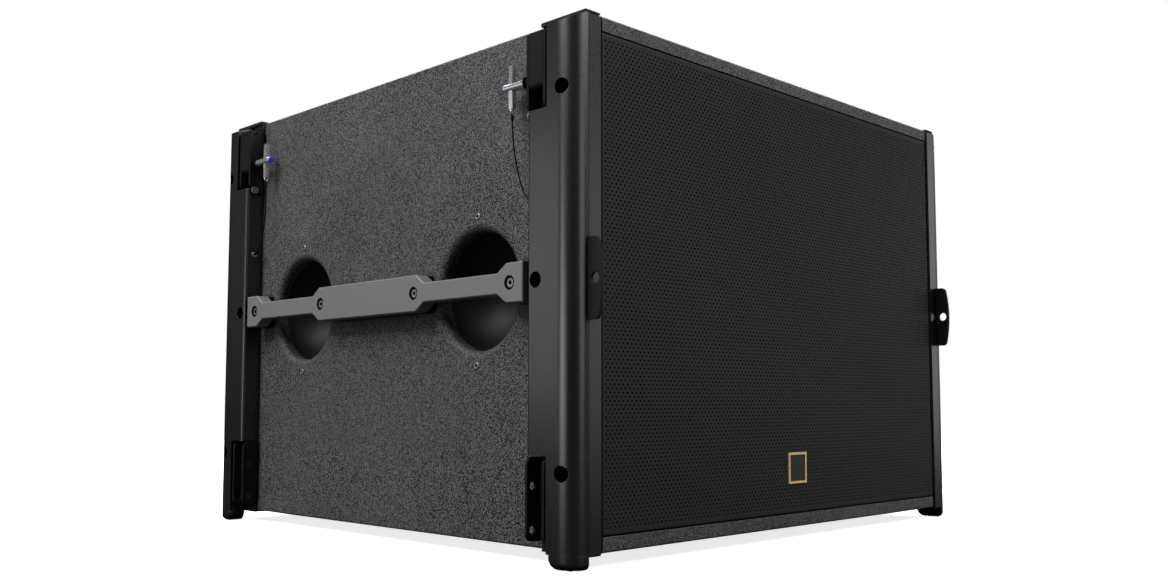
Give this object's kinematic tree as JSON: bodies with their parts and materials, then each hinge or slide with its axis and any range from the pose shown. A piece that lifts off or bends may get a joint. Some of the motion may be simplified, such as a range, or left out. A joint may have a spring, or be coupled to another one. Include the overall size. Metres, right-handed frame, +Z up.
{
  "type": "flyable subwoofer enclosure",
  "caption": "Black plywood bass-reflex subwoofer of a line array, with perforated grille, four rigging rails, link arms, quick-release pins and side handle bars.",
  "frame": {"origin": "on the floor under the middle of the overall box, between the four feet", "axes": "the grille faces -Y, +X is the width towards the right rails seen from behind the origin looking along +Y, +Z is up"},
  "size_m": [0.826, 0.7922, 0.606],
  "materials": {
    "cabinet_paint": "black textured hard coating on birch plywood",
    "inner_plywood": "black stained plywood",
    "grille_steel": "black powder coat, fine perforation",
    "grille_foam": "open black foam",
    "badge_gold": "satin gilt",
    "badge_dark": "dark gloss enamel",
    "rail_aluminium": "black satin anodised extrusion",
    "foot_rubber": "matt black rubber",
    "cap_plastic": "matt black moulded pad",
    "rigging_steel": "black e-coated steel",
    "black_screws": "black oxide steel",
    "bright_screws": "satin zinc plated steel",
    "pin_steel": "satin stainless steel",
    "pin_button": "blue anodised push button",
    "lanyard_cable": "black coated wire rope",
    "handle_metal": "grey satin anodised",
    "handle_block": "black moulded stand-off",
    "cup_plastic": "black moulded cup",
    "driver_cast": "black cast aluminium",
    "driver_iron": "zinc plated iron and ceramic magnet",
    "driver_paper": "black coated paper",
    "driver_roll": "treated cloth roll",
    "driver_cloth": "resin treated cloth",
    "driver_coil": "wound copper on a former",
    "connector_black": "black moulded socket",
    "connector_steel": "black powder coated plate"
  },
  "bodies": {
    "cabinet": {"top_panel": "cabinet_paint", "bottom_panel": "cabinet_paint", "side_panel_left": "cabinet_paint", "side_panel_right": "cabinet_paint", "rear_panel": "cabinet_paint", "front_baffle": "inner_plywood", "port_walls": "inner_plywood", "panel_braces": "inner_plywood", "grille_mesh": "grille_steel", "grille_brackets": "grille_steel", "grille_foam": "grille_foam", "badge_frame": "badge_gold", "badge_inlay": "badge_dark", "rail_front_left": "rail_aluminium", "rail_front_right": "rail_aluminium", "rail_rear_left": "rail_aluminium", "rail_rear_right": "rail_aluminium", "rail_feet": "rail_aluminium", "foot_soles": "foot_rubber", "rail_end_caps": "cap_plastic", "lower_channels": "rigging_steel", "upper_channels": "rigging_steel", "front_tabs": "rigging_steel", "channel_screws": "black_screws", "cup_screws": "black_screws", "rail_bolts": "black_screws", "connector_screws": "black_screws", "driver_bolts": "black_screws", "handle_screws": "bright_screws", "lanyard_anchors": "pin_steel", "lanyard_front_left": "lanyard_cable", "lanyard_front_right": "lanyard_cable", "lanyard_rear_left": "lanyard_cable", "lanyard_rear_right": "lanyard_cable", "handle_bars": "handle_metal", "handle_spacers": "handle_block", "hand_cups": "cup_plastic", "driver_basket": "driver_cast", "driver_front_plate": "driver_iron", "driver_magnet": "driver_iron", "driver_pole_piece": "driver_iron", "driver_surround": "driver_roll", "driver_spider": "driver_cloth", "connector_sockets": "connector_black", "connector_plate": "connector_steel"},
    "cone_assembly": {"driver_cone": "driver_paper", "driver_voice_coil": "driver_coil", "driver_dust_cap": "driver_paper"},
    "link_arm_front_left": {"link_arm_front_left": "rigging_steel"},
    "lock_pin_front_left": {"lock_pin_front_left": "pin_steel"},
    "pin_button_front_left": {"pin_button_front_left": "pin_button"},
    "link_arm_front_right": {"link_arm_front_right": "rigging_steel"},
    "lock_pin_front_right": {"lock_pin_front_right": "pin_steel"},
    "pin_button_front_right": {"pin_button_front_right": "pin_button"},
    "link_arm_rear_left": {"link_arm_rear_left": "rigging_steel"},
    "lock_pin_rear_left": {"lock_pin_rear_left": "pin_steel"},
    "pin_button_rear_left": {"pin_button_rear_left": "pin_button"},
    "link_arm_rear_right": {"link_arm_rear_right": "rigging_steel"},
    "lock_pin_rear_right": {"lock_pin_rear_right": "pin_steel"},
    "pin_button_rear_right": {"pin_button_rear_right": "pin_button"}
  },
  "joints": [
    {"name": "cone_travel", "type": "slide", "parent": "cabinet", "child": "cone_assembly", "axis": [0, -1, 0], "range_m": [-0.01, 0.01], "stiffness_N_per_m": 12000, "deforming": ["driver_surround", "driver_spider"]},
    {"name": "arm_lift_front_left", "type": "slide", "parent": "cabinet", "child": "link_arm_front_left", "axis": [0, 0, 1], "range_m": [0, 0.0487]},
    {"name": "pin_pull_front_left", "type": "slide", "parent": "cabinet", "child": "lock_pin_front_left", "axis": [0, 1, 0], "range_m": [0, 0.03]},
    {"name": "button_press_front_left", "type": "slide", "parent": "lock_pin_front_left", "child": "pin_button_front_left", "axis": [0, -1, 0], "range_m": [0, 0.003], "stiffness_N_per_m": 600},
    {"name": "arm_lift_front_right", "type": "slide", "parent": "cabinet", "child": "link_arm_front_right", "axis": [0, 0, 1], "range_m": [0, 0.0487]},
    {"name": "pin_pull_front_right", "type": "slide", "parent": "cabinet", "child": "lock_pin_front_right", "axis": [0, 1, 0], "range_m": [0, 0.03]},
    {"name": "button_press_front_right", "type": "slide", "parent": "lock_pin_front_right", "child": "pin_button_front_right", "axis": [0, -1, 0], "range_m": [0, 0.003], "stiffness_N_per_m": 600},
    {"name": "arm_lift_rear_left", "type": "slide", "parent": "cabinet", "child": "link_arm_rear_left", "axis": [0, 0, 1], "range_m": [0, 0.0487]},
    {"name": "pin_pull_rear_left", "type": "slide", "parent": "cabinet", "child": "lock_pin_rear_left", "axis": [0, -1, 0], "range_m": [0, 0.03]},
    {"name": "button_press_rear_left", "type": "slide", "parent": "lock_pin_rear_left", "child": "pin_button_rear_left", "axis": [0, 1, 0], "range_m": [0, 0.003], "stiffness_N_per_m": 600},
    {"name": "arm_lift_rear_right", "type": "slide", "parent": "cabinet", "child": "link_arm_rear_right", "axis": [0, 0, 1], "range_m": [0, 0.0487]},
    {"name": "pin_pull_rear_right", "type": "slide", "parent": "cabinet", "child": "lock_pin_rear_right", "axis": [0, -1, 0], "range_m": [0, 0.03]},
    {"name": "button_press_rear_right", "type": "slide", "parent": "lock_pin_rear_right", "child": "pin_button_rear_right", "axis": [0, 1, 0], "range_m": [0, 0.003], "stiffness_N_per_m": 600}
  ]
}
